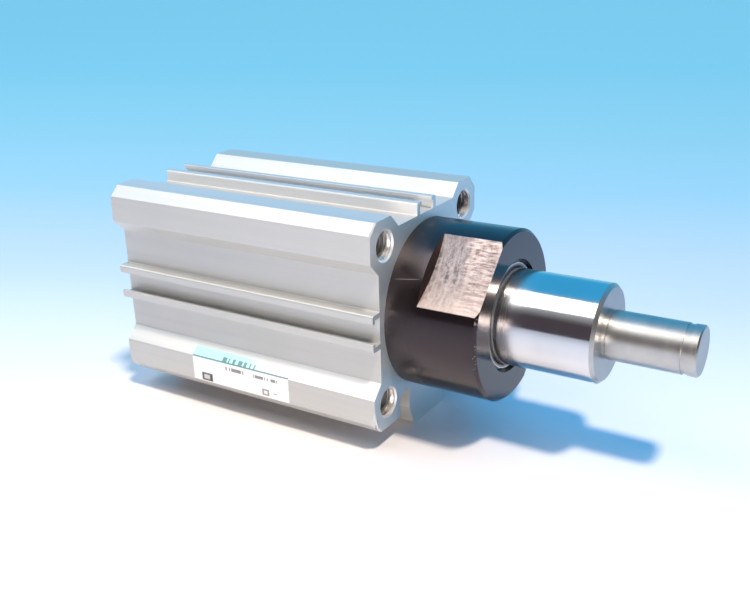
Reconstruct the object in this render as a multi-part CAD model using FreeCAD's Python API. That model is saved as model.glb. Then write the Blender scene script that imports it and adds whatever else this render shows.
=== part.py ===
import FreeCAD, Part
import math
import os

# A compact stopper cylinder, in millimetres. X runs along the rod towards its pin and
# Z is up. The origin is on the rod's axis at the body's front face. The cylinder lies
# on its port boss with the rod out.

vector = FreeCAD.Vector
axis_x = vector(1, 0, 0)
origin = vector(0, 0, 0)

# Motion
stroke = 20.0

# Clearances
running_gap = 0.03        # radial, bush on rod and wear ring in bore
seal_gap = 0.05           # radial, seal lips and grooves
fit_gap = 0.05            # radial, pieces that are screwed or pushed together
stop_gap = 0.1            # along X, where a bumper stops the piston

# Body extrusion
bore_d = 32.0
recess_wall = 3.64        # bore to the sunk side faces
recess_depth = 2.86       # sunk side faces below the corner lobes
corner_chamfer = 2.24
lobe_flat = 5.78
edge_r = 0.25             # rounding of the lobes' long edges
root_r = 0.3              # rounding where side faces meet slopes and rails
end_chamfer = 0.3         # turned on the corners at both ends
nick_height = 3.6         # facet knocked off the near lower corner, along the edge
nick_reach = 0.95         # and back from it
hole_inset = 5.5          # corner hole to the side faces
hole_thread_d = 6.0
hole_thread_depth = 12.0
hole_through_d = 5.5
hole_countersink_d = 6.67

# Switch rails, a facing pair of hooks on three sides
rail_span = 7.9
rail_arm = 1.1
rail_lip = 0.85
rail_mouth = 4.33
rail_drop = 0.2           # below the lobe faces
rail_corner_r = 0.5
rail_edge_r = 0.15        # rounding of the rails' lips

# Port boss under the body
boss_width = 16.8
boss_depth = 4.5
boss_corner_r = 1.0
boss_foot_height = 1.4    # upright part of the flank at the rest face
boss_draw = 1.4           # how far each flank draws in towards its foot
boss_flank_height = 4.8   # where it starts to, above the rest face
slot_gap = 3.9            # boss to the lobes
slot_root = 1.6           # slot roof to the bore
slot_root_r = 1.4
port_thread_d = 9.73
port_depth = 8.0
port_countersink_d = 10.8
port_passage_d = 2.5
front_port_offset = 2.5   # port axis from its passage, towards the middle
rear_port_offset = 2.0

# Rod cover
nose_length = 20.1
nose_seat = 1.0           # the nose's shoulder outside its thread
nose_edge = 0.6
cover_thread_step = 1.0   # cover thread outside the bore
cover_thread_length = 6.0
cover_relief_width = 1.0
cover_relief_depth = 0.4
spigot_length = 12.0
flat_depth = 2.0
flat_start = 7.0
flat_lean = 0.7           # how far the wall behind a flat leans forward, over the flat's depth
flat_turn = 44.5          # degrees that the flats stand turned from the top

# Rod
rod_d = 20.0
rod_end_chamfer = 0.7
rod_proud_in = 0.2        # shoulder in front of the nose when the rod is in
pin_d = 10.0
pin_length = 17.75
pin_undercut_d = 9.6
pin_undercut_width = 0.45
pin_groove_d = 9.6
pin_groove_width = 1.15
pin_groove_to_end = 1.85
pin_end_chamfer = 0.3
stud_d = 10.0
stud_proud = 1.0          # beyond the nut
stud_chamfer = 0.5

# Rod guide and seals
bush_wall = 1.5
bush_nose_depth = 8.3     # how far the bush reaches into the nose
land_gap = 0.25           # cover bore round the rod between the seals
seal_groove_start = 9.5
seal_groove_width = 4.0
seal_section = 3.0
seal_heel = 0.5           # bevel at the rod seal's corners
seal_mouth = 1.0          # depth of its open side
scraper_depth = 4.0
scraper_section = 1.8
scraper_lip_section = 1.0
scraper_rim = 0.6         # flat of the lip; inside it the lip falls to the rod
scraper_lip_length = 1.6
scraper_lip_gap = 0.02    # radial, lip on the rod
scraper_lip_fall = 0.7
scraper_setback = 0.6     # lip behind the nose's face

# O-rings and their grooves
ring_section = 1.56
ring_groove_depth = 1.6
ring_groove_width = 2.4
cover_groove_to_end = 1.2
head_groove_to_end = 2.1

# Piston
piston_gap = 0.15         # radial, piston in bore
front_land = 1.9
wear_groove_width = 4.0
wear_ring_wall = 1.75
middle_land = 1.6
seal_pocket_width = 3.4
piston_seal_section = 3.75
piston_seal_rim = 0.85    # rim behind each end of the seal
piston_seal_waist = 0.6   # waist below the rims
rear_land = 2.0
hub_d = 16.0
magnet_width = 4.0
magnet_inset = 1.0        # magnet below the bore wall
magnet_washer_width = 1.5
gasket_section = 1.3
gasket_pocket_depth = 1.35
nut_flats = 14.0
nut_width = 4.0

# Bumpers
bumper_width = 1.9
bumper_section = 2.5
bumper_air_gap = 1.4      # bumper to the bore, for the air
rear_bumper_width = 2.0
rear_bumper_section = 2.2
rear_bumper_air_gap = 1.2

# Head cover
head_length = 11.0
head_channel_length = 4.5
head_channel_depth = 1.1
head_floor = 3.5
head_air_hole_d = 2.5
head_air_holes = 4
cover_edge = 0.5          # chamfer on the covers' inner ends

# Retaining ring in the rear of the bore
ring_thickness = 1.2
ring_slack = 0.1
retaining_groove_depth = 0.85
ring_web = 2.9
ring_lug_r = 2.6
ring_lug_hole_d = 2.2
ring_gap_angle = 34.0     # degrees between the lugs
rear_lip = 1.7
bore_mouth = 0.5

# Spring and its seat
wire_d = 1.5
spring_d = 21.6           # mean diameter
spring_turns = 5
spring_closed_turns = 1
spring_coil_gap = 0.03    # between closed turns
spring_tip = 0.4          # what grinding leaves of the wire at its ends
seat_width = 1.0
seat_collar_wall = 0.9
seat_collar_length = 3.0
seat_collar_gap = 0.2     # radial, collar in the spring
seat_rim = 0.75           # seat beyond the spring
pocket_gap = 0.45         # radial, spring in the head cover's pocket

# Label folded over the slope of the near lower lobe
label_thickness = 0.1
label_start = 21.7        # behind the front face
label_length = 26.7
label_drop = 5.6          # down the side face
label_fold = 2.5          # up the slope

# Places that follow
bore_r = bore_d / 2
body_half = bore_r + recess_wall + recess_depth
recess_plane = body_half - recess_depth
lobe_inner = body_half - corner_chamfer - lobe_flat
hole_place = body_half - hole_inset
rest_plane = -(body_half + boss_depth)
rod_r = rod_d / 2
pin_r = pin_d / 2
stud_r = stud_d / 2
hub_r = hub_d / 2
cover_thread_r = bore_r + cover_thread_step
nose_r = cover_thread_r + nose_seat
shoulder_x = nose_length + stroke + rod_proud_in
pin_end_x = shoulder_x + pin_length
spigot_end = -spigot_length
piston_front = spigot_end - bumper_width - stop_gap
wear_front = piston_front - front_land
wear_rear = wear_front - wear_groove_width
pocket_front = wear_rear - middle_land
pocket_rear = pocket_front - seal_pocket_width
magnet_front = pocket_rear - rear_land
magnet_rear = magnet_front - magnet_width
piston_rear = magnet_rear - magnet_washer_width
nut_rear = piston_rear - nut_width
stud_end = nut_rear - stud_proud
rear_bumper_front = piston_rear - stroke - stop_gap
head_front = rear_bumper_front - rear_bumper_width
head_rear = head_front - head_length
groove_rear = head_rear - ring_thickness - ring_slack
body_rear = groove_rear - rear_lip
head_pocket_floor = head_rear + head_floor
spring_outer_r = (spring_d + wire_d) / 2
spring_inner_r = (spring_d - wire_d) / 2
pocket_r = spring_outer_r + pocket_gap
front_passage = (spigot_end + piston_front) / 2
rear_passage = head_front - head_channel_length / 2
cover_groove_rear = spigot_end + cover_groove_to_end
head_groove_rear = head_rear + head_groove_to_end
spill = body_half / 20    # how far a cutting shape runs past the faces it cuts
ring_groove_r = bore_r - ring_groove_depth
bush_outer_r = rod_r + bush_wall
land_r = rod_r + land_gap


def outline(corners):
    # a closed wire in the YZ plane; a corner is (y, z) or (y, z, radius)
    count = len(corners)
    arcs = []
    ends = []
    for i in range(count):
        here = vector(0, corners[i][0], corners[i][1])
        before = vector(0, corners[i - 1][0], corners[i - 1][1])
        after = vector(0, corners[(i + 1) % count][0], corners[(i + 1) % count][1])
        radius = corners[i][2] if len(corners[i]) > 2 else 0
        if radius == 0:
            arcs.append([])
            ends.append((here, here))
            continue
        back = (before - here).normalize()
        on = (after - here).normalize()
        half = back.getAngle(on) / 2
        reach = radius / math.tan(half)
        middle = here + (back + on).normalize() * (radius / math.sin(half) - radius)
        start = here + back * reach
        stop = here + on * reach
        arcs.append([Part.Arc(start, middle, stop).toShape()])
        ends.append((start, stop))
    edges = []
    for i in range(count):
        edges += arcs[i]
        edges.append(Part.makeLine(ends[i][1], ends[(i + 1) % count][0]))
    return Part.Wire(edges)


def extrude(corners, start, stop):
    # a prism along X between two places
    face = Part.Face(outline(corners))
    face.translate(vector(start, 0, 0))
    return face.extrude(vector(stop - start, 0, 0))


def turn(points):
    # a body of revolution about X from a closed outline of (x, radius) points
    wire = Part.makePolygon([vector(x, r, 0) for x, r in points + points[:1]])
    return Part.Face(wire).revolve(origin, axis_x, 360)


def tube(start, stop, outer, inner):
    return turn([(start, inner), (stop, inner), (stop, outer), (start, outer)])


def rod(start, stop, radius, y=0.0, z=0.0):
    # a round bar along X
    return Part.makeCylinder(radius, abs(stop - start), vector(min(start, stop), y, z), axis_x)


def turned_about_x(shape, angle):
    copy = shape.copy()
    copy.rotate(origin, axis_x, angle)
    return copy


def mirrored(corners):
    return [(-c[0],) + tuple(c[1:]) for c in reversed(corners)]


def fused(shapes):
    return shapes[0].multiFuse(shapes[1:]).removeSplitter()


def o_ring(place, radius, section):
    return Part.makeTorus(radius, section / 2, vector(place, 0, 0), axis_x)


# Body

def side_corners():
    # one side of the section from corner to corner, with its pair of rails
    top = body_half - rail_drop
    outer = rail_span / 2
    inner = outer - rail_arm
    lip = rail_mouth / 2
    half = [(body_half - corner_chamfer, body_half, edge_r), (lobe_inner, body_half, edge_r),
            (lobe_inner - recess_depth, recess_plane, root_r), (outer, recess_plane, root_r),
            (outer, top, rail_corner_r), (lip, top, rail_edge_r), (lip, top - rail_lip, rail_edge_r),
            (inner, top - rail_lip), (inner, recess_plane)]
    return half + mirrored(half)


def boss_corners():
    # the underside from corner to corner, with the port boss between its slots
    half = boss_width / 2
    foot = half - boss_draw
    far = half + slot_gap
    roof = -(bore_r + slot_root)
    right = [(foot, rest_plane, boss_corner_r), (foot, rest_plane + boss_foot_height),
             (half, rest_plane + boss_flank_height), (half, roof, root_r),
             (far, roof, slot_root_r), (far, -body_half, edge_r),
             (body_half - corner_chamfer, -body_half, edge_r)]
    return mirrored(right) + right


def section():
    top = side_corners()
    near = [(-c[1], c[0]) + c[2:] for c in top]
    far = [(c[1], -c[0]) + c[2:] for c in top]
    return top + near + boss_corners() + far


def bore_cut():
    # cover thread, bore, retaining groove and rear mouth in one cut
    thread_end = -(cover_thread_length + cover_relief_width / 2)
    groove_r = bore_r + retaining_groove_depth
    return turn([
        (spill, 0), (spill, cover_thread_r), (thread_end, cover_thread_r), (thread_end, bore_r),
        (head_rear, bore_r), (head_rear, groove_r), (groove_rear, groove_r), (groove_rear, bore_r),
        (body_rear + bore_mouth, bore_r), (body_rear, bore_r + bore_mouth),
        (body_rear - spill, bore_r + bore_mouth), (body_rear - spill, 0)])


def corner_hole(y, z):
    thread_r = hole_thread_d / 2
    sink_r = hole_countersink_d / 2
    sink = sink_r - thread_r
    cuts = [rod(body_rear, 0, hole_through_d / 2, y, z),
            rod(-hole_thread_depth, 0, thread_r, y, z),
            rod(body_rear, body_rear + hole_thread_depth, thread_r, y, z),
            Part.makeCone(sink_r, thread_r, sink, vector(0, y, z), -axis_x),
            Part.makeCone(sink_r, thread_r, sink, vector(body_rear, y, z), axis_x)]
    return fused(cuts)


def port(place, passage_place):
    up = vector(0, 0, 1)
    thread_r = port_thread_d / 2
    sink_r = port_countersink_d / 2
    hole = Part.makeCylinder(thread_r, port_depth, vector(place, 0, rest_plane), up)
    sink = Part.makeCone(sink_r, thread_r, sink_r - thread_r, vector(place, 0, rest_plane), up)
    reach = -rest_plane - bore_r / 2
    passage = Part.makeCylinder(port_passage_d / 2, reach, vector(passage_place, 0, rest_plane), up)
    return fused([hole, sink, passage])


def end_envelope():
    # the turned chamfers trim the four corners at each end
    corner = math.hypot(body_half, body_half - corner_chamfer)
    face_r = corner - end_chamfer
    full = corner + spill
    run = full - face_r
    return turn([(0, 0), (0, face_r), (-run, full), (body_rear + run, full),
                 (body_rear, face_r), (body_rear, 0)])


def corner_nick():
    # a block whose face lies along the facet
    low = corner_chamfer - body_half
    tip = vector(0, -body_half, low + nick_height)
    back = vector(-nick_reach, -body_half, low)
    across = vector(0, nick_reach - body_half, low)
    outward = (back - tip).cross(across - tip)
    half = 2 * nick_height
    block = Part.makeBox(2 * half, 2 * half, half, vector(-half, -half, 0))
    block.Placement = FreeCAD.Placement(tip, FreeCAD.Rotation(vector(0, 0, 1), outward))
    return block


def make_body():
    block = extrude(section(), body_rear, 0).common(end_envelope())
    holes = [corner_hole(y, z) for y in (-hole_place, hole_place) for z in (-hole_place, hole_place)]
    ports = [port(front_passage - front_port_offset, front_passage),
             port(rear_passage + rear_port_offset, rear_passage)]
    return block.cut([bore_cut(), corner_nick()] + holes + ports).removeSplitter()


# Rod cover and what it carries

def make_rod_cover():
    thread_r = cover_thread_r - fit_gap
    relief_r = bore_r - cover_relief_depth
    land = bore_r - fit_gap
    relief_end = -(cover_thread_length + cover_relief_width)
    groove_front = cover_groove_rear + ring_groove_width
    seal_r = rod_r + seal_section
    scraper_r = rod_r + scraper_section
    pocket_x = nose_length - scraper_depth
    cover = turn([
        (spigot_end, bush_outer_r), (bush_nose_depth, bush_outer_r), (bush_nose_depth, land_r),
        (seal_groove_start, land_r), (seal_groove_start, seal_r),
        (seal_groove_start + seal_groove_width, seal_r), (seal_groove_start + seal_groove_width, land_r),
        (pocket_x, land_r), (pocket_x, scraper_r), (nose_length, scraper_r),
        (nose_length, nose_r - nose_edge), (nose_length - nose_edge, nose_r), (0, nose_r),
        (0, thread_r), (-cover_thread_length, thread_r), (-cover_thread_length, relief_r),
        (relief_end, relief_r), (relief_end, land), (groove_front, land), (groove_front, ring_groove_r),
        (cover_groove_rear, ring_groove_r), (cover_groove_rear, land),
        (spigot_end + cover_edge, land), (spigot_end, land - cover_edge)])
    across = nose_r - flat_depth
    slab = Part.makeBox(nose_length + spill, 2 * nose_r, nose_r, vector(0, -nose_r, across))
    lean = flat_lean / flat_depth
    behind = turn([(-spill, 0), (-spill, nose_r + (flat_start + spill) / lean),
                   (flat_start + nose_r * lean, 0)])
    wall = slab.cut(behind)
    slabs = [turned_about_x(wall, flat_turn), turned_about_x(wall, flat_turn + 180)]
    return cover.cut(slabs)


def make_rod_cover_gasket():
    place = cover_groove_rear + ring_groove_width / 2
    return o_ring(place, (bore_r + ring_groove_r) / 2, ring_section)


def make_guide_bush():
    return tube(spigot_end, bush_nose_depth, bush_outer_r, rod_r + running_gap)


def make_rod_seal():
    # a lipped ring, open towards the pressure
    rear = seal_groove_start + seal_gap
    front = seal_groove_start + seal_groove_width - seal_gap
    outer = rod_r + seal_section - seal_gap
    inner = rod_r + seal_gap
    middle = (outer + inner) / 2
    return turn([
        (front, inner + seal_heel), (front, outer - seal_heel), (rear + seal_heel, outer),
        (rear, outer - seal_heel), (rear + seal_mouth, middle), (rear, inner + seal_heel),
        (rear + seal_heel, inner)])


def make_scraper():
    # the body fills the pocket and a slimmer lip stands out towards the face
    rear = nose_length - scraper_depth
    lip_end = nose_length - scraper_setback
    lip_start = lip_end - scraper_lip_length
    inner = rod_r + scraper_lip_gap
    outer = rod_r + scraper_section
    lip_outer = rod_r + scraper_lip_section
    return turn([(rear, land_r), (lip_start, land_r), (lip_end - scraper_lip_fall - seal_gap, inner),
                 (lip_end - scraper_lip_fall, inner), (lip_end, lip_outer - scraper_rim),
                 (lip_end, lip_outer), (lip_start, lip_outer), (lip_start, outer), (rear, outer)])


def make_front_bumper():
    outer = bore_r - bumper_air_gap
    return tube(spigot_end - bumper_width, spigot_end, outer, outer - bumper_section)


# Rod and piston

def make_piston_rod():
    undercut_r = pin_undercut_d / 2
    groove_r = pin_groove_d / 2
    groove_front = pin_end_x - pin_groove_to_end
    groove_back = groove_front - pin_groove_width
    undercut_end = shoulder_x + pin_undercut_width
    return turn([
        (stud_end, 0), (stud_end, stud_r - stud_chamfer), (stud_end + stud_chamfer, stud_r),
        (piston_front, stud_r), (piston_front, rod_r), (shoulder_x - rod_end_chamfer, rod_r),
        (shoulder_x, rod_r - rod_end_chamfer), (shoulder_x, undercut_r), (undercut_end, undercut_r),
        (undercut_end + (pin_r - undercut_r), pin_r), (groove_back, pin_r), (groove_back, groove_r),
        (groove_front, groove_r), (groove_front, pin_r), (pin_end_x - pin_end_chamfer, pin_r),
        (pin_end_x, pin_r - pin_end_chamfer), (pin_end_x, 0)])


def make_piston():
    outer = bore_r - piston_gap
    wear_r = bore_r - running_gap - wear_ring_wall - seal_gap
    seal_r = bore_r - piston_seal_section - 2 * seal_gap
    gasket_r = stud_r + gasket_section + 2 * seal_gap
    return turn([
        (piston_front, gasket_r), (piston_front - gasket_pocket_depth, gasket_r),
        (piston_front - gasket_pocket_depth, stud_r), (magnet_rear, stud_r), (magnet_rear, hub_r),
        (magnet_front, hub_r), (magnet_front, outer), (pocket_rear, outer), (pocket_rear, seal_r),
        (pocket_front, seal_r), (pocket_front, outer), (wear_rear, outer), (wear_rear, wear_r),
        (wear_front, wear_r), (wear_front, outer), (piston_front - cover_edge, outer),
        (piston_front, outer - cover_edge)])


def make_piston_gasket():
    place = piston_front - gasket_pocket_depth / 2
    return o_ring(place, stud_r + seal_gap + gasket_section / 2, gasket_section)


def make_wear_ring():
    outer = bore_r - running_gap
    return tube(wear_rear + seal_gap, wear_front - seal_gap, outer, outer - wear_ring_wall)


def make_piston_seal():
    # a double lip: pressed rims at both ends and a waist between them
    front = pocket_front - seal_gap
    rear = pocket_rear + seal_gap
    outer = bore_r - seal_gap
    inner = outer - piston_seal_section
    waist = outer - piston_seal_waist
    return turn([(rear, inner), (front, inner), (front, waist), (front - piston_seal_rim, outer),
                 ((front + rear) / 2, waist), (rear + piston_seal_rim, outer), (rear, waist)])


def make_magnet():
    return tube(magnet_rear, magnet_front, bore_r - magnet_inset, hub_r + fit_gap)


def make_magnet_washer():
    return tube(piston_rear, magnet_rear, bore_r - magnet_inset, stud_r + fit_gap)


def make_piston_nut():
    corner = nut_flats / 2 / math.cos(math.pi / 6)
    points = [(corner * math.cos(i * math.pi / 3), corner * math.sin(i * math.pi / 3)) for i in range(6)]
    bevel = corner - nut_flats / 2
    trim = turn([(nut_rear, 0), (nut_rear, corner - bevel), (nut_rear + bevel, corner),
                 (piston_rear - bevel, corner), (piston_rear, corner - bevel), (piston_rear, 0)])
    hexagon = extrude(points, nut_rear, piston_rear).common(trim)
    return hexagon.cut(rod(nut_rear, piston_rear, stud_r + fit_gap))


# Spring and its seat

def make_spring_seat():
    front = piston_rear - seal_gap
    rim_r = spring_outer_r + seat_rim
    collar_r = spring_inner_r - seat_collar_gap
    bore = collar_r - seat_collar_wall
    return turn([(front, bore), (front, rim_r), (front - seat_width, rim_r), (front - seat_width, collar_r),
                 (front - seat_width - seat_collar_length, collar_r),
                 (front - seat_width - seat_collar_length, bore)])


def make_return_spring():
    # evenly pitched turns between closed ones, with both ends ground flat; the pitch
    # opens over half a turn
    front = piston_rear - seal_gap - seat_width
    rear = head_pocket_floor
    ground = wire_d / 2 - spring_tip
    closed_pitch = wire_d + spring_coil_gap
    steps = 24
    ramp = 0.5
    count = round(spring_turns * steps)
    shares = []
    for i in range(count):
        turns_in = (min(i, count - i) + 0.5) / steps
        shares.append(max(0.0, min(1.0, (turns_in - spring_closed_turns) / ramp + 0.5)))
    run = front - rear + 2 * ground
    opening = (run - closed_pitch * spring_turns) / sum(shares)
    place = rear - ground
    points = []
    for i in range(count + 1):
        angle = 2 * math.pi * i / steps
        points.append(vector(place, spring_d / 2 * math.cos(angle), spring_d / 2 * math.sin(angle)))
        if i < count:
            place += closed_pitch / steps + opening * shares[i]
    path = Part.BSplineCurve()
    path.interpolate(points)
    tangent = path.tangent(path.FirstParameter)[0]
    section = Part.Wire(Part.makeCircle(wire_d / 2, points[0], tangent))
    coil = Part.Wire(path.toShape()).makePipeShell([section], True, True)
    return coil.common(rod(rear, front, spring_outer_r + wire_d))


# Head cover and rear end

def make_rear_bumper():
    outer = bore_r - rear_bumper_air_gap
    return tube(head_front, rear_bumper_front, outer, outer - rear_bumper_section)


def make_head_cover():
    land = bore_r - fit_gap
    channel_r = bore_r - head_channel_depth
    channel_end = head_front - head_channel_length
    groove_front = head_groove_rear + ring_groove_width
    cover = turn([
        (head_rear, 0), (head_rear, land - cover_edge), (head_rear + cover_edge, land),
        (head_groove_rear, land), (head_groove_rear, ring_groove_r), (groove_front, ring_groove_r),
        (groove_front, land), (channel_end, land), (channel_end, channel_r), (head_front, channel_r),
        (head_front, pocket_r), (head_pocket_floor, pocket_r), (head_pocket_floor, 0)])
    hole = Part.makeCylinder(head_air_hole_d / 2, bore_r, vector(rear_passage, 0, 0), vector(0, 0, -1))
    holes = [turned_about_x(hole, i * 360 / head_air_holes) for i in range(head_air_holes)]
    return cover.cut(holes)


def make_head_cover_gasket():
    place = head_groove_rear + ring_groove_width / 2
    return o_ring(place, (bore_r + ring_groove_r) / 2, ring_section)


def make_retaining_ring():
    rear = groove_rear + ring_slack / 2
    front = rear + ring_thickness
    outer = bore_r + retaining_groove_depth - fit_gap
    inner = outer - ring_web
    ring = tube(rear, front, outer, inner)
    half = math.radians(ring_gap_angle / 2)
    reach = 2 * outer
    wedge = extrude([(0, 0), (-reach * math.sin(half), reach * math.cos(half)),
                     (reach * math.sin(half), reach * math.cos(half))], rear, front)
    lug_place = bore_r - ring_lug_r - seal_gap
    lugs = []
    holes = []
    for side in (-1, 1):
        turn_to = side * (half + ring_lug_r / lug_place)
        y = lug_place * math.sin(turn_to)
        z = lug_place * math.cos(turn_to)
        lugs.append(rod(rear, front, ring_lug_r, y, z))
        holes.append(rod(rear, front, ring_lug_hole_d / 2, y, z))
    return fused([ring.cut(wedge)] + lugs).cut(holes)


# Label

def make_label():
    # a thin sheet on the side face, folded over the edge onto the slope above it
    face = -body_half
    fold_z = -lobe_inner
    skin = label_thickness
    lean = label_fold / math.sqrt(2)
    shift = skin * math.tan(math.pi / 8)
    slope = skin / math.sqrt(2)
    sheet = [(face, fold_z - label_drop), (face, fold_z), (face + lean, fold_z + lean),
             (face + lean - slope, fold_z + lean + slope), (face - skin, fold_z + shift),
             (face - skin, fold_z - label_drop)]
    return extrude(sheet, -label_start - label_length, -label_start)


pieces = {
    "body": make_body,
    "rod_cover": make_rod_cover,
    "rod_cover_gasket": make_rod_cover_gasket,
    "guide_bush": make_guide_bush,
    "rod_seal": make_rod_seal,
    "scraper": make_scraper,
    "front_bumper": make_front_bumper,
    "piston_rod": make_piston_rod,
    "piston": make_piston,
    "piston_gasket": make_piston_gasket,
    "wear_ring": make_wear_ring,
    "piston_seal": make_piston_seal,
    "magnet": make_magnet,
    "magnet_washer": make_magnet_washer,
    "piston_nut": make_piston_nut,
    "spring_seat": make_spring_seat,
    "return_spring": make_return_spring,
    "rear_bumper": make_rear_bumper,
    "head_cover": make_head_cover,
    "head_cover_gasket": make_head_cover_gasket,
    "retaining_ring": make_retaining_ring,
    "label": make_label,
}

os.makedirs("parts", exist_ok=True)
for name, make in pieces.items():
    shape = make()
    shape.exportStep("parts/" + name + ".step")
    print(name, shape.ShapeType, len(shape.Solids), shape.isValid(), round(shape.Volume, 1))
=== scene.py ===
import bpy
import bmesh
import math
from mathutils import Matrix, Vector


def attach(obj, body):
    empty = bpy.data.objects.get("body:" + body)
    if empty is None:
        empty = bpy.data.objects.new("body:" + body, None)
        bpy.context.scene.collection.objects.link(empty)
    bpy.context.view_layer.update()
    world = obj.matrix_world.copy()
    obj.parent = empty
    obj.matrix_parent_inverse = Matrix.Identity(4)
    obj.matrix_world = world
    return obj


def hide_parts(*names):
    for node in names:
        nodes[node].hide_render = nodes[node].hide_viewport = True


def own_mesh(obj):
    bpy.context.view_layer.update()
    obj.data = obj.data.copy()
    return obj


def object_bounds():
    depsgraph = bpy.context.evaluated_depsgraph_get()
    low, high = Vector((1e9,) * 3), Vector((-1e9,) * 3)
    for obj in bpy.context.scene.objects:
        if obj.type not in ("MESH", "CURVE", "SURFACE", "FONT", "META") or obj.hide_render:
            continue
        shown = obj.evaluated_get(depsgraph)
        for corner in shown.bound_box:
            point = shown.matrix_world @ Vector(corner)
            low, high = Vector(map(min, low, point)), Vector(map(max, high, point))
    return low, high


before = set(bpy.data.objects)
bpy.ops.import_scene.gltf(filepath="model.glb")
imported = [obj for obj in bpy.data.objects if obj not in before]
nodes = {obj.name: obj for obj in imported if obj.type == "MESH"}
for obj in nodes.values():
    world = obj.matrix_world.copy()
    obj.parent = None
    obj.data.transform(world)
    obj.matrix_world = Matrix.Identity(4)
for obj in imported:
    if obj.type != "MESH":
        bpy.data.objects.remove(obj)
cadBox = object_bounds()
mm = 0.001
print("frame loaded:", len(nodes), "nodes")


# Small helpers

def meshObject(name, bm, material):
    # a finished piece at the origin, with its place in its mesh
    mesh = bpy.data.meshes.new(name)
    bm.to_mesh(mesh)
    bm.free()
    obj = bpy.data.objects.new(name, mesh)
    bpy.context.scene.collection.objects.link(obj)
    mesh.materials.append(material)
    return obj


def smoothShade(obj, angle=40):
    for face in obj.data.polygons:
        face.use_smooth = True
    obj.data.set_sharp_from_angle(angle=math.radians(angle))


# Material helpers: each adds nodes to a tree and gives back a socket

def newMaterial(name):
    material = bpy.data.materials.new(name)
    material.use_nodes = True
    tree = material.node_tree
    tree.nodes.clear()
    output = tree.nodes.new("ShaderNodeOutputMaterial")
    shader = tree.nodes.new("ShaderNodeBsdfPrincipled")
    tree.links.new(shader.outputs[0], output.inputs[0])
    return material, tree, shader


def placed(tree, stretch=(1, 1, 1)):
    # object coordinates, stretched for a pattern
    coordinates = tree.nodes.new("ShaderNodeTexCoord")
    mapping = tree.nodes.new("ShaderNodeMapping")
    mapping.inputs["Scale"].default_value = stretch
    tree.links.new(coordinates.outputs["Object"], mapping.inputs["Vector"])
    return mapping.outputs["Vector"]


def axisPart(tree, name, output="Object"):
    # one part of the object coordinates or of the object normal
    coordinates = tree.nodes.new("ShaderNodeTexCoord")
    split = tree.nodes.new("ShaderNodeSeparateXYZ")
    tree.links.new(coordinates.outputs[output], split.inputs["Vector"])
    return split.outputs[name]


def noiseOf(tree, vector, scale, detail=3, roughness=0.5):
    noise = tree.nodes.new("ShaderNodeTexNoise")
    noise.inputs["Scale"].default_value = scale
    noise.inputs["Detail"].default_value = detail
    noise.inputs["Roughness"].default_value = roughness
    tree.links.new(vector, noise.inputs["Vector"])
    return noise.outputs["Fac"]


def ringNoise(tree, distance, scale, detail):
    # noise along one value, such as the distance from a cutter's centre
    noise = tree.nodes.new("ShaderNodeTexNoise")
    noise.noise_dimensions = "1D"
    noise.inputs["Scale"].default_value = scale
    noise.inputs["Detail"].default_value = detail
    tree.links.new(distance, noise.inputs["W"])
    return noise.outputs["Fac"]


def between(tree, value, low, high, fromLow=0.0, fromHigh=1.0, smooth=False):
    # low to high as the value goes from fromLow to fromHigh
    ranged = tree.nodes.new("ShaderNodeMapRange")
    ranged.interpolation_type = "SMOOTHSTEP" if smooth else "LINEAR"
    ranged.inputs["From Min"].default_value = fromLow
    ranged.inputs["From Max"].default_value = fromHigh
    ranged.inputs["To Min"].default_value = low
    ranged.inputs["To Max"].default_value = high
    tree.links.new(value, ranged.inputs["Value"])
    return ranged.outputs["Result"]


def mathOf(tree, operation, first, second=0.0, clamp=False):
    node = tree.nodes.new("ShaderNodeMath")
    node.operation = operation
    node.use_clamp = clamp
    for i, value in enumerate((first, second)):
        if isinstance(value, (int, float)):
            node.inputs[i].default_value = value
        else:
            tree.links.new(value, node.inputs[i])
    return node.outputs[0]


def product(tree, *values):
    result = values[0]
    for value in values[1:]:
        result = mathOf(tree, "MULTIPLY", result, value)
    return result


def blend(tree, factor, first, second):
    # a number between two, as mixed does for colours
    return mathOf(tree, "ADD", product(tree, first, mathOf(tree, "SUBTRACT", 1.0, factor)),
                  product(tree, second, factor))


def mixed(tree, factor, first, second):
    # a colour between two, which are colours or sockets
    node = tree.nodes.new("ShaderNodeMix")
    node.data_type = "RGBA"
    tree.links.new(factor, node.inputs["Factor"])
    for socket, value in ((node.inputs[6], first), (node.inputs[7], second)):
        if isinstance(value, tuple):
            socket.default_value = value + (1,)
        else:
            tree.links.new(value, socket)
    return node.outputs[2]


def grey(level):
    return (level, level, level)


def alongWay(tree, vector, way):
    # how far a place or a ray lies along a direction
    dot = tree.nodes.new("ShaderNodeVectorMath")
    dot.operation = "DOT_PRODUCT"
    dot.inputs[1].default_value = way
    tree.links.new(vector, dot.inputs[0])
    return dot.outputs["Value"]


def maskNear(tree, value, centre, reach, soft=0.02 * mm):
    # 1 where a value lies within reach of its centre
    gap = mathOf(tree, "ABSOLUTE", mathOf(tree, "SUBTRACT", value, centre))
    return between(tree, gap, 1, 0, reach - soft, reach + soft)


def fromAxis(tree, across, up, place=(0, 0)):
    # distance from a line, or from its mirror images where the inputs are absolute values
    y = mathOf(tree, "SUBTRACT", across, place[0])
    z = mathOf(tree, "SUBTRACT", up, place[1])
    return mathOf(tree, "SQRT", mathOf(tree, "ADD", product(tree, y, y), product(tree, z, z)))


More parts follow.
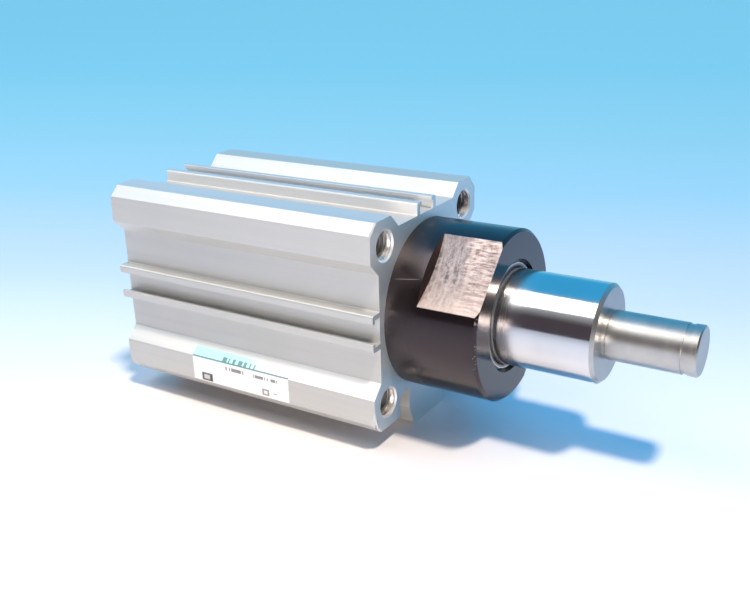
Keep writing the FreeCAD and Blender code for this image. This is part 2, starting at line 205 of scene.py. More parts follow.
def bumpOf(tree, shader, layers):
    # layers of (height, strength, distance), each on the one below it
    normal = None
    for height, strength, distance in layers:
        bump = tree.nodes.new("ShaderNodeBump")
        bump.inputs["Strength"].default_value = strength
        bump.inputs["Distance"].default_value = distance
        tree.links.new(height, bump.inputs["Height"])
        if normal:
            tree.links.new(normal, bump.inputs["Normal"])
        normal = bump.outputs["Normal"]
    tree.links.new(normal, shader.inputs["Normal"])


def plainFinish(name, colour, tone, roughness, spread, grain, stretch=(1, 1, 1), metallic=1.0, bump=0.15):
    # a metal or plastic with a fine grain, uneven gloss and slight shifts of tone
    material, tree, shader = newMaterial(name)
    fine = noiseOf(tree, placed(tree, stretch), grain, 4)
    broad = noiseOf(tree, placed(tree), 90, 3)
    shader.inputs["Metallic"].default_value = metallic
    tree.links.new(mixed(tree, between(tree, broad, 0, 1, 0.3, 0.7), colour, tone),
                   shader.inputs["Base Color"])
    tree.links.new(between(tree, fine, roughness - spread, roughness + spread, 0.3, 0.7),
                   shader.inputs["Roughness"])
    bumpOf(tree, shader, [(fine, bump, 0.01 * mm)])
    return material


# Body: clear anodised extrusion

anodisedSet = {
    "faces": ((0.56, 0.55, 0.53), (0.59, 0.575, 0.555)),
    "dieLines": (0.51, 0.505, 0.485),
    "specks": (0.50, 0.49, 0.47),
    # the milled ends carry a blue tint that is painted blue bounce light
    "ends": (0.59, 0.66, 0.69),
    "cuts": (0.78, 0.78, 0.78),              # bare, inside the corner holes
    # painted shade on the far lobes' tops
    "farTopShade": (0.47, 0.48, 0.45),
    # painted light, paler than the faces
    "paintedLight": (0.78, 0.765, 0.75),             # the trough's walls and the near lower slope
    # painted shade on the knocked corner's facet, and a painted highlight on its ridge
    "dentShade": (0.24, 0.25, 0.27),
    "ridge": (0.66, 0.66, 0.67),
    "faceMetal": 0.45, "paintedLightMetal": 0.1, "endMetal": 0.9, "cutMetal": 0.7,
    "faceGloss": (0.34, 0.46), "endGloss": 0.5,
    "holeCentre": (17 * mm, 17 * mm), "cutEdge": (3.36 * mm, 3.42 * mm),
    "millCentre": (60 * mm, 95 * mm),        # of the arcs on the ends
    "farSide": (12 * mm, 13 * mm),
    "troughFloor": (19.7 * mm, 19.8 * mm), "troughHalf": 12.9 * mm,
    "slopeTop": (-8 * mm, -7 * mm), "slopeReach": (-66 * mm, -20 * mm), "slopeShare": (0.1, 0.7),
    "knockClimb": (-22.5 * mm, -18.9 * mm), "knockDepth": 0.95 * mm,
    "knockSide": (-21.4 * mm, -21.3 * mm), "knockTop": (-19 * mm, -18.8 * mm),
    "dentEdge": (0.02 * mm, 0.08 * mm), "ridgePlace": -0.1 * mm, "ridgeHalf": 0.1 * mm,
}


def anodisedMaterial(settings):
    # drawn lines along the extrusion, milled arcs on its ends, bare cuts in the holes
    material, tree, shader = newMaterial("clearAnodised")
    dieLines = noiseOf(tree, placed(tree, (30, 3500, 3500)), 1.0, 4, 0.6)
    broadLines = noiseOf(tree, placed(tree, (8, 700, 700)), 1.0, 2)
    etch = noiseOf(tree, placed(tree), 9000, 3)
    patches = noiseOf(tree, placed(tree), 60, 3)
    specks = between(tree, noiseOf(tree, placed(tree, (400, 900, 900)), 1.0, 2), 0, 1, 0.75, 0.80)
    x, y, z = (axisPart(tree, name) for name in "XYZ")
    normalX, normalY, normalZ = (axisPart(tree, name, "Normal") for name in "XYZ")
    end = between(tree, mathOf(tree, "ABSOLUTE", normalX), 0, 1, 0.80, 0.90)
    hole = fromAxis(tree, mathOf(tree, "ABSOLUTE", y), mathOf(tree, "ABSOLUTE", z), settings["holeCentre"])
    cut = between(tree, hole, 1, 0, *settings["cutEdge"])
    arcs = ringNoise(tree, fromAxis(tree, y, z, settings["millCentre"]), 2600, 3)
    tone = mixed(tree, between(tree, patches, 0, 1, 0.3, 0.7), *settings["faces"])
    tone = mixed(tree, between(tree, broadLines, 0, 0.5, 0.45, 0.75), tone, settings["dieLines"])
    tone = mixed(tree, specks, tone, settings["specks"])
    # painted blue bounce light tints the milled ends
    tone = mixed(tree, end, tone, settings["ends"])
    tone = mixed(tree, cut, tone, settings["cuts"])
    # painted shade: the far lobes' tops are a little darker
    farTopShadeMask = product(tree, between(tree, normalZ, 0, 1, 0.8, 0.9), between(tree, y, 0, 1, *settings["farSide"]))
    tone = mixed(tree, farTopShadeMask, tone, settings["farTopShade"])
    # painted light makes the walls of the top rails' trough paler, against their shade
    troughWallLight = product(tree, between(tree, z, 0, 1, *settings["troughFloor"]),
                    maskNear(tree, y, 0, settings["troughHalf"]),
                    between(tree, mathOf(tree, "ABSOLUTE", normalY), 0, 1, 0.7, 0.9))
    # and painted light makes the near lower slope paler too, more so towards the front
    slopeLight = product(tree, between(tree, normalY, 1, 0, -0.5, -0.4), between(tree, normalZ, 0, 1, 0.3, 0.4),
                    between(tree, z, 1, 0, *settings["slopeTop"]),
                    between(tree, x, *settings["slopeShare"], *settings["slopeReach"]))
    paintedLight = mathOf(tree, "ADD", troughWallLight, slopeLight, True)
    tone = mixed(tree, paintedLight, tone, settings["paintedLight"])
    # the knocked corner at the near lower front edge: painted shade on its facet, and a painted highlight along
    # its ridge
    inward = mathOf(tree, "SUBTRACT", x, between(tree, z, -settings["knockDepth"], 0, *settings["knockClimb"]))
    corner = product(tree, between(tree, y, 1, 0, *settings["knockSide"]),
                     between(tree, z, 1, 0, *settings["knockTop"]))
    dentShade = product(tree, corner, between(tree, inward, 0, 1, *settings["dentEdge"]))
    ridge = product(tree, corner, maskNear(tree, x, settings["ridgePlace"], settings["ridgeHalf"], 0.06 * mm))
    tone = mixed(tree, dentShade, tone, settings["dentShade"])
    tone = mixed(tree, ridge, tone, settings["ridge"])
    tree.links.new(tone, shader.inputs["Base Color"])
    # the painted light areas are also less metallic, so they scatter more of the lamps' light
    metal = mixed(tree, paintedLight, grey(settings["faceMetal"]), grey(settings["paintedLightMetal"]))
    metal = mixed(tree, end, metal, grey(settings["endMetal"]))
    metal = mixed(tree, cut, metal, grey(settings["cutMetal"]))
    tree.links.new(metal, shader.inputs["Metallic"])
    satin = between(tree, dieLines, *settings["faceGloss"], 0.3, 0.7)
    tree.links.new(mixed(tree, end, satin, grey(settings["endGloss"])), shader.inputs["Roughness"])
    lines = product(tree, dieLines, mathOf(tree, "SUBTRACT", 1.0, end))
    marks = product(tree, arcs, end)
    bumpOf(tree, shader, [(broadLines, 0.10, 0.05 * mm), (lines, 0.12, 0.02 * mm), (marks, 0.12, 0.02 * mm),
                          (etch, 0.25, 0.01 * mm)])
    return material


# Rod cover: black oxide, with two milled flats

coverSet = {
    "oxide": ((0.004, 0.003, 0.003), (0.008, 0.005, 0.005)),
    "oxideIndex": 1.6, "oxideTint": (1.0, 0.80, 0.82, 1),
    "oxideGloss": (0.11, 0.17),
    "rearHaze": 0.21, "rearHazeReach": (3 * mm, 9 * mm),
    "torn": ((0.10, 0.08, 0.08), (0.53, 0.44, 0.425)),       # a flat's marks behind the cutter's arc
    "combed": ((0.23, 0.16, 0.145), (0.65, 0.515, 0.465)),   # and in front of it
    "arcs": (0.56, 0.47, 0.43),
    "dull": (0.18, 0.15, 0.15),
    # painted shade at the flat's upper end, painted light at its lower end
    "upperShade": (0.20, 0.165, 0.165), "upperReach": (-2 * mm, 8 * mm),
    "lowerLight": (0.72, 0.56, 0.48), "lowerReach": (-9 * mm, -1 * mm),
    "flatTurn": math.radians(44.5),          # from the top
    "flatHalf": 16 * mm, "flatStart": (6.98 * mm, 7.02 * mm),
    "flatGloss": (0.42, 0.6),
    "cutterCentre": (-40 * mm, -3 * mm), "cutterReach": (54.6 * mm, 56.8 * mm), "wander": 3 * mm,
    "worn": (0.50, 0.44, 0.42),
    "rimRadius": (17.45 * mm, 17.6 * mm), "rimStart": (19.45 * mm, 19.6 * mm),
    "rubbedHeight": 0.5 * mm, "rubbedHalf": 4.5 * mm,
    "scratchHeight": 9.6 * mm, "scratchClimb": 0.12, "scratchPlace": 3.6 * mm, "scratchHalf": 2.2 * mm,
}


def coverMaterial(settings):
    material, tree, shader = newMaterial("blackOxideAndFlats")
    turning = noiseOf(tree, placed(tree, (9000, 20, 20)), 1.0, 3)
    grain = noiseOf(tree, placed(tree), 5000, 4, 0.6)
    patches = noiseOf(tree, placed(tree), 140, 4, 0.6)
    x, y, z = (axisPart(tree, name) for name in "XYZ")
    # the flats' own frame: off the axis, and along a flat across the rod
    cosine, sine = math.cos(settings["flatTurn"]), math.sin(settings["flatTurn"])
    lean = mathOf(tree, "SUBTRACT", product(tree, z, cosine), product(tree, y, sine))
    along = mathOf(tree, "ADD", product(tree, z, sine), product(tree, y, cosine))
    flat = product(tree, maskNear(tree, mathOf(tree, "ABSOLUTE", lean), settings["flatHalf"], 0.05 * mm),
                   between(tree, x, 0, 1, *settings["flatStart"]))
    # torn behind an arc of the cutter, and combed along the rod in front of it
    sweep = fromAxis(tree, x, along, settings["cutterCentre"])
    wander = product(tree, noiseOf(tree, placed(tree), 450, 3), settings["wander"])
    front = between(tree, mathOf(tree, "ADD", sweep, wander), 0, 1, *settings["cutterReach"], True)
    arcs = ringNoise(tree, sweep, 700, 2)
    bent = tree.nodes.new("ShaderNodeCombineXYZ")
    tree.links.new(product(tree, sweep, 1800), bent.inputs["X"])
    tree.links.new(product(tree, along, 420), bent.inputs["Y"])
    swept = noiseOf(tree, bent.outputs["Vector"], 1.0, 4, 0.7)
    rough = noiseOf(tree, placed(tree), 1600, 5, 0.75)
    fine = noiseOf(tree, placed(tree, (420, 2000, 2000)), 1.0, 4, 0.65)
    torn = mathOf(tree, "ADD", product(tree, rough, 0.45), product(tree, swept, 0.55))
    combed = mathOf(tree, "ADD", product(tree, fine, 0.8), product(tree, swept, 0.2))
    streak = blend(tree, front, torn, combed)
    behind = mixed(tree, between(tree, streak, 0, 1, 0.42, 0.59), *settings["torn"])
    before = mixed(tree, between(tree, streak, 0, 1, 0.42, 0.58), *settings["combed"])
    bare = mixed(tree, front, behind, before)
    bare = mixed(tree, between(tree, arcs, 0, 0.45, 0.52, 0.70), bare, settings["arcs"])
    stains = noiseOf(tree, placed(tree, (90, 70, 70)), 1.0, 2)
    bare = mixed(tree, between(tree, stains, 0, 0.4, 0.45, 0.7), bare, settings["dull"])
    # painted shade towards the top of the flat, painted light towards its lower end
    upperShadeMask = product(tree, between(tree, along, 0, 0.6, *settings["upperReach"]),
                    mathOf(tree, "SUBTRACT", 1.0, front))
    bare = mixed(tree, upperShadeMask, bare, settings["upperShade"])
    bare = mixed(tree, between(tree, along, 0.6, 0, *settings["lowerReach"]), bare, settings["lowerLight"])
    # specks worn bright on the rim, and one scratch behind the flat
    specks = between(tree, noiseOf(tree, placed(tree), 1600, 2), 0, 1, 0.60, 0.64)
    rim = product(tree, between(tree, fromAxis(tree, y, z), 0, 1, *settings["rimRadius"]),
                  between(tree, x, 0, 1, *settings["rimStart"]))
    rubbed = product(tree, specks, rim,
                     maskNear(tree, z, settings["rubbedHeight"], settings["rubbedHalf"], 2 * mm))
    height = mathOf(tree, "SUBTRACT", z, product(tree, x, settings["scratchClimb"]))
    scratch = product(tree, maskNear(tree, height, settings["scratchHeight"], 0.05 * mm),
                      maskNear(tree, x, settings["scratchPlace"], settings["scratchHalf"], 0.8 * mm))
    worn = mathOf(tree, "ADD", rubbed, product(tree, scratch, 0.5), True)
    oxide = mixed(tree, between(tree, patches, 0, 1, 0.35, 0.7), *settings["oxide"])
    tree.links.new(mixed(tree, worn, mixed(tree, flat, oxide, bare), settings["worn"]),
                   shader.inputs["Base Color"])
    tree.links.new(mathOf(tree, "MAXIMUM", flat, worn), shader.inputs["Metallic"])
    shader.inputs["IOR"].default_value = settings["oxideIndex"]
    shader.inputs["Specular Tint"].default_value = settings["oxideTint"]
    turned = mathOf(tree, "ADD", between(tree, grain, *settings["oxideGloss"], 0.3, 0.7),
                    between(tree, x, settings["rearHaze"], 0, *settings["rearHazeReach"], True))
    tree.links.new(mixed(tree, flat, turned, between(tree, torn, *settings["flatGloss"], 0.3, 0.7)),
                   shader.inputs["Roughness"])
    milled = product(tree, streak, flat)
    bumpOf(tree, shader, [(turning, 0.06, 0.01 * mm), (grain, 0.18, 0.01 * mm), (milled, 0.6, 0.07 * mm)])
    return material


# Rod: ground hard chrome on the shaft, plain turned steel from the shoulder on

rodSet = {
    "pinStart": (39.58 * mm, 39.62 * mm),
    "chrome": ((0.66, 0.65, 0.66), (0.70, 0.69, 0.70)), "chromeGloss": (0.08, 0.13),
    "haze": 0.15, "hazeReach": (22.5 * mm, 28.5 * mm), "hazeWander": 1.2 * mm,
    "pin": ((0.46, 0.44, 0.42), (0.53, 0.51, 0.485)), "pinGloss": (0.31, 0.38),
    # painted shade darkens the shoulder's and the pin's end faces
    "facedShade": (0.36, 0.37, 0.38),             # the shoulder's and the pin's end faces
}


def rodMaterial(settings):
    material, tree, shader = newMaterial("hardChromeAndTurnedPin")
    x = axisPart(tree, "X")
    pin = between(tree, x, 0, 1, *settings["pinStart"])
    ground = noiseOf(tree, placed(tree, (5200, 130, 130)), 1.0, 3)
    ripple = noiseOf(tree, placed(tree, (180, 1500, 1500)), 1.0, 3, 0.6)
    rubbed = noiseOf(tree, placed(tree, (120, 900, 900)), 1.0, 3, 0.6)
    waves = noiseOf(tree, placed(tree, (160, 60, 60)), 1.0, 2)
    feed = noiseOf(tree, placed(tree, (3600, 120, 120)), 1.0, 4)
    stain = noiseOf(tree, placed(tree), 260, 3)
    bright = mixed(tree, between(tree, waves, 0, 1, 0.3, 0.7), *settings["chrome"])
    plain = mixed(tree, between(tree, stain, 0, 1, 0.35, 0.7), *settings["pin"])
    # painted shade on the shoulder's and the pin's end faces
    facedShade = product(tree, pin, between(tree, axisPart(tree, "X", "Normal"), 0, 1, 0.8, 0.9))
    plain = mixed(tree, facedShade, plain, settings["facedShade"])
    tree.links.new(mixed(tree, pin, bright, plain), shader.inputs["Base Color"])
    shader.inputs["Metallic"].default_value = 1.0
    # the shaft is duller beside the scraper
    ragged = mathOf(tree, "ADD", x, product(tree, rubbed, settings["hazeWander"]))
    haze = between(tree, ragged, settings["haze"], 0, *settings["hazeReach"], True)
    polish = mathOf(tree, "ADD", between(tree, ground, *settings["chromeGloss"], 0.3, 0.7), haze)
    tree.links.new(mixed(tree, pin, polish, between(tree, feed, *settings["pinGloss"], 0.3, 0.7)),
                   shader.inputs["Roughness"])
    turned = product(tree, feed, pin)
    bumpOf(tree, shader, [(waves, 0.12, 0.02 * mm), (ripple, 0.42, 0.010 * mm), (ground, 0.08, 0.004 * mm),
                          (turned, 0.07, 0.005 * mm)])
    return material


# Label: a cyan band above the fold, a dark line along it, and a white field below

labelSet = {
    "fold": -14.48 * mm, "foldSoft": 0.03 * mm,
    "lineAbove": 0.16 * mm, "lineHalf": 0.13 * mm,
    "white": ((0.88, 0.87, 0.87), (0.92, 0.91, 0.91)),
    "band": ((0.42, 0.90, 0.92), (0.86, 0.95, 0.96)), "bandFade": (-36 * mm, -24 * mm),
    "ink": (0.035, 0.04, 0.045),
    # rows of short bars, in mm: first and last place, height, half height, cells to a millimetre
    "rows": ((-40.0, -30.6, -13.85, 0.42, 2.53), (-38.9, -33.2, -15.65, 0.42, 3.22),
             (-31.2, -24.4, -15.75, 0.36, 3.91)),
    "gaps": 0.42,                            # share of the cells left blank
    "lineInk": 0.8, "barInk": 0.75,
    # plain blocks, in mm: place, height, half width, half height, and the ink added or taken away
    "blocks": ((-44.45, -18.95, 1.55, 0.95, 0.95), (-44.6, -18.95, 0.85, 0.55, -0.6),
               (-27.9, -18.95, 0.95, 0.75, 0.7), (-27.9, -18.95, 0.5, 0.4, -0.6),
               (-25.3, -18.8, 0.5, 0.12, 0.7)),
    "blockSoft": 0.06 * mm,
}


def labelMaterial(settings):
    material, tree, shader = newMaterial("labelFilm")
    x, z = axisPart(tree, "X"), axisPart(tree, "Z")
    fold, soft = settings["fold"], settings["foldSoft"]
    band = between(tree, z, 0, 1, fold - soft, fold + soft)
    line = maskNear(tree, z, fold + settings["lineAbove"], settings["lineHalf"])
    fibre = noiseOf(tree, placed(tree), 1500, 3)
    white = mixed(tree, between(tree, fibre, 0, 1, 0.3, 0.7), *settings["white"])
    cyan = mixed(tree, between(tree, x, 0, 0.75, *settings["bandFade"], True), *settings["band"])
    ink = product(tree, line, settings["lineInk"])
    for first, last, height, tall, pace in settings["rows"]:
        cells = tree.nodes.new("ShaderNodeTexWhiteNoise")
        cells.noise_dimensions = "1D"
        tree.links.new(mathOf(tree, "FLOOR", product(tree, x, pace / mm)), cells.inputs["W"])
        bars = mathOf(tree, "GREATER_THAN", cells.outputs["Value"], settings["gaps"])
        inside = product(tree, maskNear(tree, x, (first + last) / 2 * mm, (last - first) / 2 * mm),
                         maskNear(tree, z, height * mm, tall * mm, settings["blockSoft"]))
        ink = mathOf(tree, "MAXIMUM", ink, product(tree, bars, inside, settings["barInk"]))
    for place, height, wide, tall, weight in settings["blocks"]:
        inside = product(tree, maskNear(tree, x, place * mm, wide * mm, settings["blockSoft"]),
                         maskNear(tree, z, height * mm, tall * mm, settings["blockSoft"]))
        ink = mathOf(tree, "ADD", ink, product(tree, inside, weight), True)
    tree.links.new(mixed(tree, ink, mixed(tree, band, white, cyan), settings["ink"]),
                   shader.inputs["Base Color"])
    tree.links.new(between(tree, fibre, 0.30, 0.40, 0.3, 0.7), shader.inputs["Roughness"])
    bumpOf(tree, shader, [(fibre, 0.05, 0.01 * mm)])
    return material


# Scraper ring: a pale rim, and painted shade on the lip inside it, where it meets the rod

scraperSet = {
    "lip": ((0.09, 0.085, 0.085), (0.13, 0.125, 0.12)),
    "rim": ((0.64, 0.64, 0.63), (0.70, 0.70, 0.69)),
    "rimRadius": (10.7 * mm, 11.0 * mm),
}


def scraperMaterial(settings):
    material, tree, shader = newMaterial("scraperPlastic")
    fine = noiseOf(tree, placed(tree), 3000, 4)
    radius = fromAxis(tree, axisPart(tree, "Y"), axisPart(tree, "Z"))
    # painted shade on the lip inside the rim
    rim = between(tree, radius, 0, 1, *settings["rimRadius"], True)
    tree.links.new(mixed(tree, rim, mixed(tree, fine, *settings["lip"]), mixed(tree, fine, *settings["rim"])),
                   shader.inputs["Base Color"])
    tree.links.new(between(tree, fine, 0.24, 0.34, 0.3, 0.7), shader.inputs["Roughness"])
    bumpOf(tree, shader, [(fine, 0.15, 0.01 * mm)])
    return material


# Plain finishes: two tones, roughness and its spread, scale of the grain and its stretch

rubber = plainFinish("nitrileRubber", (0.018, 0.018, 0.019), (0.03, 0.03, 0.03), 0.6, 0.08, 4000, metallic=0)
urethane = plainFinish("amberUrethane", (0.50, 0.38, 0.14), (0.56, 0.44, 0.18), 0.4, 0.06, 2500, metallic=0)
wearPlastic = plainFinish("filledWearPlastic", (0.10, 0.10, 0.11), (0.14, 0.14, 0.15), 0.5, 0.06, 5000,
                          metallic=0)
magnetStone = plainFinish("bondedFerrite", (0.045, 0.045, 0.047), (0.07, 0.07, 0.07), 0.55, 0.08, 3500,
                          metallic=0)
tapped = plainFinish("tappedAluminium", (0.62, 0.59, 0.57), (0.54, 0.52, 0.50), 0.36, 0.05, 2500, bump=0.06)
bronze = plainFinish("sinteredBronze", (0.56, 0.38, 0.19), (0.48, 0.32, 0.16), 0.38, 0.08, 5000)
castAluminium = plainFinish("machinedCasting", (0.60, 0.60, 0.61), (0.67, 0.67, 0.68), 0.34, 0.07, 1.0,
                            (6000, 90, 90))
turnedAluminium = plainFinish("turnedAluminium", (0.66, 0.67, 0.68), (0.72, 0.72, 0.73), 0.27, 0.06, 1.0,
                              (7000, 80, 80))
zincPlate = plainFinish("zincPlate", (0.58, 0.58, 0.55), (0.66, 0.65, 0.60), 0.30, 0.07, 1800)
springWire = plainFinish("temperedWire", (0.16, 0.16, 0.17), (0.22, 0.21, 0.21), 0.36, 0.08, 2500)
phosphate = plainFinish("phosphatedSteel", (0.06, 0.06, 0.065), (0.09, 0.088, 0.09), 0.46, 0.08, 4500)

nodeFinish = {
    "body": anodisedMaterial(anodisedSet), "rod_cover": coverMaterial(coverSet),
    "piston_rod": rodMaterial(rodSet), "label": labelMaterial(labelSet),
    "scraper": scraperMaterial(scraperSet), "rod_cover_gasket": rubber, "guide_bush": bronze,
    "rod_seal": rubber, "front_bumper": urethane, "piston": castAluminium, "piston_gasket": rubber,
    "wear_ring": wearPlastic, "piston_seal": rubber, "magnet": magnetStone,
    "magnet_washer": turnedAluminium, "piston_nut": zincPlate, "spring_seat": turnedAluminium,
    "return_spring": springWire, "rear_bumper": urethane, "head_cover": turnedAluminium,
    "head_cover_gasket": rubber, "retaining_ring": phosphate,
}
for name, material in nodeFinish.items():
    node = nodes[name]
    if not node.material_slots:
        node.data.materials.append(material)
    for slot in node.material_slots:
        slot.material = material
print("finishes on", len(nodeFinish), "nodes")


# Threads, in mm

cornerThread = {"outer": 3.02, "inner": 2.5, "pitch": 1.0, "foot": 0.875, "crest": 0.25, "turns": 11.0,
                "start": 0.75, "places": (-17, 17), "rearFace": -68.5}
portThread = {"outer": 4.885, "inner": 4.28, "pitch": 0.907, "foot": 0.83, "crest": 0.13, "turns": 7.0,
              "start": 0.95, "places": (-15.5, -54.75), "lowerFace": -27}


def threadRidge(settings):
    # a helical ridge that runs in along +X from a hole's mouth, faded at both ends
    perTurn, fadeIn, fadeOut, least = 40, 0.5, 0.3, 0.05
    outer, inner, turns = settings["outer"], settings["inner"], settings["turns"]
    foot, crest = settings["foot"] / 2, settings["crest"] / 2
    bm = bmesh.new()
    profile = [bm.verts.new(Vector((settings["start"] + shift, 0, r)) * mm)
               for shift, r in ((-foot, outer), (-crest, inner), (crest, inner), (foot, outer))]
    edges = [bm.edges.new((profile[i - 1], profile[i])) for i in range(4)]
    bmesh.ops.spin(bm, geom=profile + edges, cent=(0, 0, 0), axis=(1, 0, 0),
                   dvec=(settings["pitch"] * mm / perTurn, 0, 0), angle=math.tau * turns,
                   steps=round(turns * perTurn), use_merge=False, use_duplicate=False)
    bmesh.ops.holes_fill(bm, edges=[e for e in bm.edges if e.is_boundary], sides=4)
    bmesh.ops.recalc_face_normals(bm, faces=bm.faces)
    for vert in bm.verts:
        radius = math.hypot(vert.co.y, vert.co.z) / mm
        if radius < (outer + inner) / 2:
            turn = (vert.co.x / mm - settings["start"]) / settings["pitch"]
            fade = max(least, min(1.0, turn / fadeIn, (turns - turn) / fadeOut))
            narrower = (outer - (outer - inner) * fade) / radius
            bmesh.ops.scale(bm, vec=(1, narrower, narrower), verts=[vert])
    ridge = bpy.data.meshes.new("ridge")
    bm.to_mesh(ridge)
    bm.free()
    return ridge


def makeThreads(name, settings, places):
    # each place is a matrix that takes +X at the origin to the way into a hole
    ridge = threadRidge(settings)
    bm = bmesh.new()
    for place in places:
        known = set(bm.verts)
        bm.from_mesh(ridge)
        bmesh.ops.transform(bm, matrix=place, verts=list(set(bm.verts) - known))
    bpy.data.meshes.remove(ridge)
    threads = meshObject(name, bm, tapped)
    smoothShade(threads)
    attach(threads, "barrel")


corners = [(y * mm, z * mm) for y in cornerThread["places"] for z in cornerThread["places"]]
rearFace, lowerFace = cornerThread["rearFace"] * mm, portThread["lowerFace"] * mm
backwards = Matrix.Rotation(math.pi, 4, "Z")
upwards = Matrix.Rotation(-math.pi / 2, 4, "Y")
makeThreads("front_hole_threads", cornerThread,
            [Matrix.Translation((0, y, z)) @ backwards for y, z in corners])
makeThreads("rear_hole_threads", cornerThread, [Matrix.Translation((rearFace, y, z)) for y, z in corners])
makeThreads("port_threads", portThread,
            [Matrix.Translation((x * mm, 0, lowerFace)) @ upwards for x in portThread["places"]])
print("threads cut")


# Return spring

springSet = {"joint": "rod_slide", "travel": 20 * mm, "merge": 0.001 * mm}


def makeSpring(settings):
    # a smooth-shaded copy of the spring, on the barrel in place of the imported one
    bm = bmesh.new()
    bm.from_mesh(nodes["return_spring"].data)
    bmesh.ops.remove_doubles(bm, verts=bm.verts, dist=settings["merge"])
    spring = meshObject("wound_spring", bm, springWire)
    smoothShade(spring)
    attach(spring, "barrel")
    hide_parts("return_spring")
    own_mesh(spring)


makeSpring(springSet)
print("spring in place")


# Floor: a pale sheet that turns blue away from the camera

floorSet = {
    "size": 6.0,
    "gloss": 0.22,
    "way": Vector((-0.36, 0.933, 0)),        # the way the tone changes, and where it starts
    "start": -0.06,
    "tones": [(0.055, (0.80, 0.76, 0.76)), (0.08, (0.71, 0.69, 0.69)), (0.135, (0.54, 0.58, 0.68)),
              (0.185, (0.46, 0.54, 0.65)), (0.25, (0.34, 0.51, 0.59)), (0.36, (0.28, 0.49, 0.54)),
              (0.61, (0.21, 0.47, 0.53))],
}


def makeFloor(settings):
    bm = bmesh.new()
    bmesh.ops.create_grid(bm, x_segments=2, y_segments=2, size=settings["size"] / 2)
    bmesh.ops.translate(bm, vec=(0, 0, cadBox[0].z), verts=bm.verts)
    material, tree, shader = newMaterial("sweepSheet")
    coordinates = tree.nodes.new("ShaderNodeTexCoord")
    distance = alongWay(tree, coordinates.outputs["Object"], settings["way"])
    ramp = tree.nodes.new("ShaderNodeValToRGB")
    tree.links.new(mathOf(tree, "SUBTRACT", distance, settings["start"]), ramp.inputs["Fac"])
    while len(ramp.color_ramp.elements) < len(settings["tones"]):
        ramp.color_ramp.elements.new(0.5)
    for element, (position, tone) in zip(ramp.color_ramp.elements, settings["tones"]):
        element.position = position
        element.color = tone + (1,)
    tree.links.new(ramp.outputs["Color"], shader.inputs["Base Color"])
    shader.inputs["Roughness"].default_value = settings["gloss"]
    meshObject("floor", bm, material)


# World: pairs of colours go from low to high, or from the camera's side to the far side

worldSet = {
    "away": Vector((-0.532, 0.847, 0)),      # from the camera over the floor
    "blueAway": Vector((0.30, 0.954, 0)),    # towards the blue light
    "turnover": (-0.25, 0.35),               # where one side gives way to the other
    "seen": ((0.90, 0.94, 0.97), (0.19, 0.62, 0.90)),
    "mirroredBlue": ((0.24, 0.66, 0.92), (0.055, 0.48, 0.90)), "blueHeight": (0.0, 0.35),
    "mirroredDark": ((0.085, 0.07, 0.085), (0.42, 0.44, 0.46)), "darkHeight": (0.45, 0.75),
    "fill": ((0.032, 0.065, 0.105), (0.055, 0.775, 1.67)),
}


def makeWorld(settings):
    world = bpy.data.worlds.new("studio")
    bpy.context.scene.world = world
    world.use_nodes = True
    tree = world.node_tree
    tree.nodes.clear()
    output = tree.nodes.new("ShaderNodeOutputWorld")
    background = tree.nodes.new("ShaderNodeBackground")
    tree.links.new(background.outputs[0], output.inputs[0])
    ray = tree.nodes.new("ShaderNodeTexCoord").outputs["Generated"]
    split = tree.nodes.new("ShaderNodeSeparateXYZ")
    tree.links.new(ray, split.inputs["Vector"])
    height = split.outputs["Z"]
    behind, blueSide = (between(tree, alongWay(tree, ray, way), 0, 1, *settings["turnover"], True)
                        for way in (settings["away"], settings["blueAway"]))
    blue = mixed(tree, between(tree, height, 0, 1, *settings["blueHeight"], True), *settings["mirroredBlue"])
    dark = mixed(tree, between(tree, height, 0, 1, *settings["darkHeight"], True), *settings["mirroredDark"])
    path = tree.nodes.new("ShaderNodeLightPath")
    mirror = mathOf(tree, "ADD", path.outputs["Is Glossy Ray"], path.outputs["Is Transmission Ray"], True)
    ambient = mixed(tree, path.outputs["Is Camera Ray"], mixed(tree, blueSide, *settings["fill"]),
                    mixed(tree, behind, *settings["seen"]))
    tree.links.new(mixed(tree, mirror, ambient, mixed(tree, behind, dark, blue)), background.inputs["Color"])


# Lamps: a direction that the light comes from, or a place and an aim

lampSet = {
    "key": {"from": Vector((0.356, -0.207, 1.0)).normalized(), "tone": (1.0, 0.88, 0.75), "power": 3.2,
            "angle": 7.0},
    "panel": {"from": Vector((-0.45, -0.32, 0.83)).normalized(), "distance": 0.8, "size": (0.66, 0.50),
              "power": 2.9},
    "front": {"place": Vector((0.16, -0.23, -0.012)), "aim": Vector((0.0, -0.01, 0.0)), "size": 0.12,
              "tone": (1.0, 0.90, 0.80), "power": 0.66},
    "side": {"place": Vector((-0.35, 0.02, 0.12)), "aim": Vector((-0.090, -0.006, -0.027)), "cone": 16,
             "radius": 0.04, "power": 1.0},
}


def addLamp(name, kind, settings, back):
    # back is the way from what is lit to the lamp
    lamp = bpy.data.objects.new(name, bpy.data.lights.new(name, kind))
    lamp.data.energy = settings["power"]
    lamp.rotation_euler = back.to_track_quat("Z", "Y").to_euler()
    lamp.visible_camera = False
    bpy.context.scene.collection.objects.link(lamp)
    return lamp


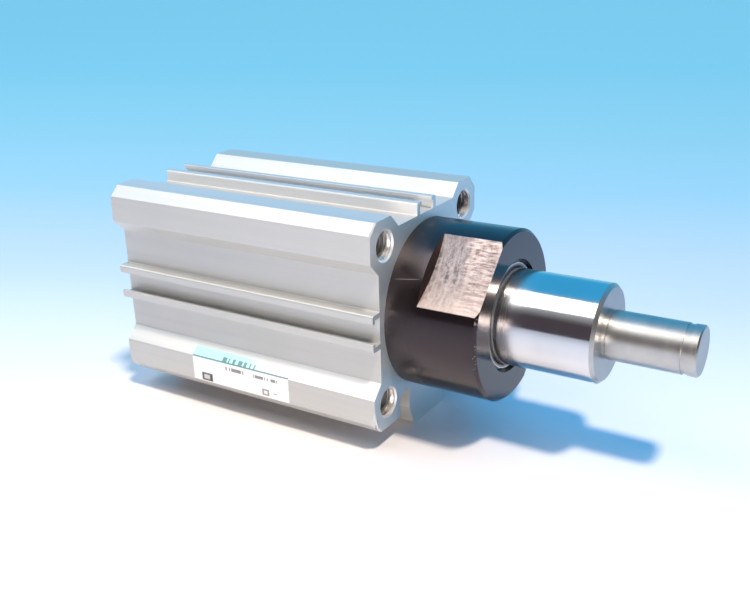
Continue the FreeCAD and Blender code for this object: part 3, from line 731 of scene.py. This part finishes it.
def makeLamps(settings):
    sun = settings["key"]
    key = addLamp("keyLamp", "SUN", sun, sun["from"])
    key.data.color = sun["tone"]
    key.data.angle = math.radians(sun["angle"])
    sheet = settings["panel"]
    panel = addLamp("softPanel", "AREA", sheet, sheet["from"])
    panel.data.shape = "RECTANGLE"
    panel.data.size, panel.data.size_y = sheet["size"]
    panel.location = sheet["from"] * sheet["distance"]
    crossways = sheet["from"].cross(Vector((1, 0, 0))).normalized()   # its long side lies along the rod
    panel.rotation_euler = Matrix((crossways.cross(sheet["from"]), crossways,
                                   sheet["from"])).transposed().to_euler()
    disk = settings["front"]
    front = addLamp("frontLamp", "AREA", disk, disk["place"] - disk["aim"])
    front.data.shape = "DISK"
    front.data.size = disk["size"]
    front.data.color = disk["tone"]
    front.location = disk["place"]
    spot = settings["side"]
    side = addLamp("sideLamp", "SPOT", spot, spot["place"] - spot["aim"])
    side.data.spot_size = math.radians(spot["cone"])
    side.data.spot_blend = 1.0
    side.data.shadow_soft_size = spot["radius"]
    side.location = spot["place"]


# Camera, worked out from the object's own edges in the photograph

cameraSet = {"place": Vector((93.075, -169.203, 74.617)) * mm, "azimuth": 32.161, "elevation": 21.101,
             "roll": -1.671, "focalPixels": 961.662, "imageWidth": 750, "sensorWidth": 36.0}


def makeCamera(settings):
    turn, tilt, roll = (math.radians(settings[name]) for name in ("azimuth", "elevation", "roll"))
    right = Vector((math.cos(turn), math.sin(turn), 0))
    forward = Vector((-math.sin(turn) * math.cos(tilt), math.cos(turn) * math.cos(tilt), -math.sin(tilt)))
    up = right.cross(forward)
    rolledRight = right * math.cos(roll) + up * math.sin(roll)
    rolledUp = up * math.cos(roll) - right * math.sin(roll)
    data = bpy.data.cameras.new("camera")
    data.sensor_width = settings["sensorWidth"]
    data.lens = settings["focalPixels"] / settings["imageWidth"] * data.sensor_width
    data.clip_start = 10 * mm
    camera = bpy.data.objects.new("camera", data)
    camera.matrix_world = Matrix((rolledRight, rolledUp, -forward)).transposed().to_4x4()
    camera.location = settings["place"]
    bpy.context.scene.collection.objects.link(camera)
    bpy.context.scene.camera = camera


makeFloor(floorSet)
makeWorld(worldSet)
makeLamps(lampSet)
makeCamera(cameraSet)
bpy.context.scene.view_settings.view_transform = "Standard"
print("stage, lamps and camera in place")
